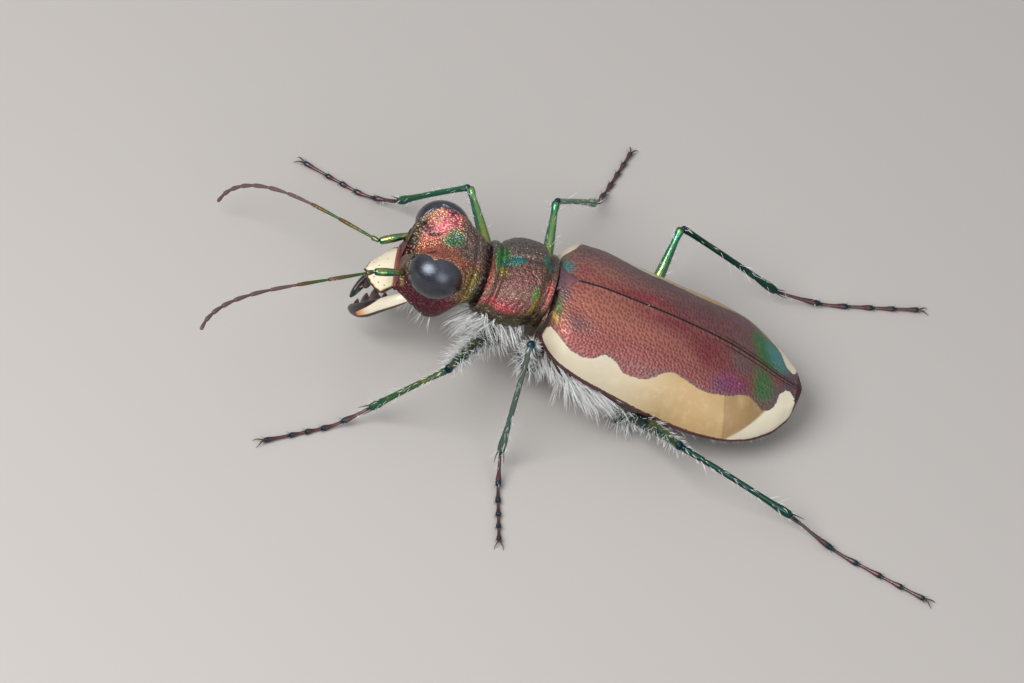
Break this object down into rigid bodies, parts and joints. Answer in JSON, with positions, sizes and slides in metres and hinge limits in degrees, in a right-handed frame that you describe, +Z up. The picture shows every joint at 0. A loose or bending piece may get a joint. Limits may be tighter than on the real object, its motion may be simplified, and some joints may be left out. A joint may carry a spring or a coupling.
{
  "type": "tiger beetle model",
  "caption": "Life-size still model of a standing tiger beetle with maroon wing cases, cream side bands and long legs.",
  "frame": {"origin": "on the floor, under the middle of the model's box", "axes": "-Y towards the beetle's head, +X towards its left side, +Z up"},
  "size_m": [0.0164, 0.0222, 0.0046],
  "materials": {
    "copper_cuticle": "metallic copper red, finely granular, satin",
    "maroon_wing_case": "maroon with a green and crimson sheen and cream margins, finely pitted, satin",
    "green_cuticle": "metallic green shifting to gold and copper, satin",
    "bronze_cuticle": "dark bronze, satin",
    "dusky_cuticle": "dull purple brown, fine down, semi matt",
    "ivory_cuticle": "cream, smooth, semi gloss",
    "palp_cuticle": "pale amber with dark tips, semi gloss",
    "compound_eye": "near black, finely faceted, glossy",
    "white_setae": "white hairs, semi gloss",
    "claw_horn": "dark brown, gloss"
  },
  "bodies": {
    "root": {"head": "copper_cuticle", "clypeus": "copper_cuticle", "labrum": "ivory_cuticle", "eye_left": "compound_eye", "eye_right": "compound_eye", "mandible_left": "ivory_cuticle", "mandible_right": "ivory_cuticle", "palp_maxillary_left": "palp_cuticle", "palp_maxillary_right": "palp_cuticle", "palp_labial_left": "palp_cuticle", "palp_labial_right": "palp_cuticle", "antenna_left_scape": "green_cuticle", "antenna_left_base": "green_cuticle", "antenna_left_middle": "dusky_cuticle", "antenna_left_tip": "dusky_cuticle", "antenna_right_scape": "green_cuticle", "antenna_right_base": "green_cuticle", "antenna_right_middle": "dusky_cuticle", "antenna_right_tip": "dusky_cuticle", "prothorax": "copper_cuticle", "mesothorax": "bronze_cuticle", "metathorax": "bronze_cuticle", "abdomen": "dusky_cuticle", "scutellum": "copper_cuticle", "elytron_left": "maroon_wing_case", "elytron_right": "maroon_wing_case", "leg_front_left_coxa": "bronze_cuticle", "leg_front_left_femur": "green_cuticle", "leg_front_left_tibia": "green_cuticle", "leg_front_left_tarsus": "bronze_cuticle", "leg_front_right_coxa": "bronze_cuticle", "leg_front_right_femur": "green_cuticle", "leg_front_right_tibia": "green_cuticle", "leg_front_right_tarsus": "bronze_cuticle", "leg_middle_left_coxa": "bronze_cuticle", "leg_middle_left_femur": "green_cuticle", "leg_middle_left_tibia": "green_cuticle", "leg_middle_left_tarsus": "bronze_cuticle", "leg_middle_right_coxa": "bronze_cuticle", "leg_middle_right_femur": "green_cuticle", "leg_middle_right_tibia": "green_cuticle", "leg_middle_right_tarsus": "bronze_cuticle", "leg_hind_left_coxa": "bronze_cuticle", "leg_hind_left_femur": "green_cuticle", "leg_hind_left_tibia": "green_cuticle", "leg_hind_left_tarsus": "bronze_cuticle", "leg_hind_right_coxa": "bronze_cuticle", "leg_hind_right_femur": "green_cuticle", "leg_hind_right_tibia": "green_cuticle", "leg_hind_right_tarsus": "bronze_cuticle"}
  },
  "joints": []
}
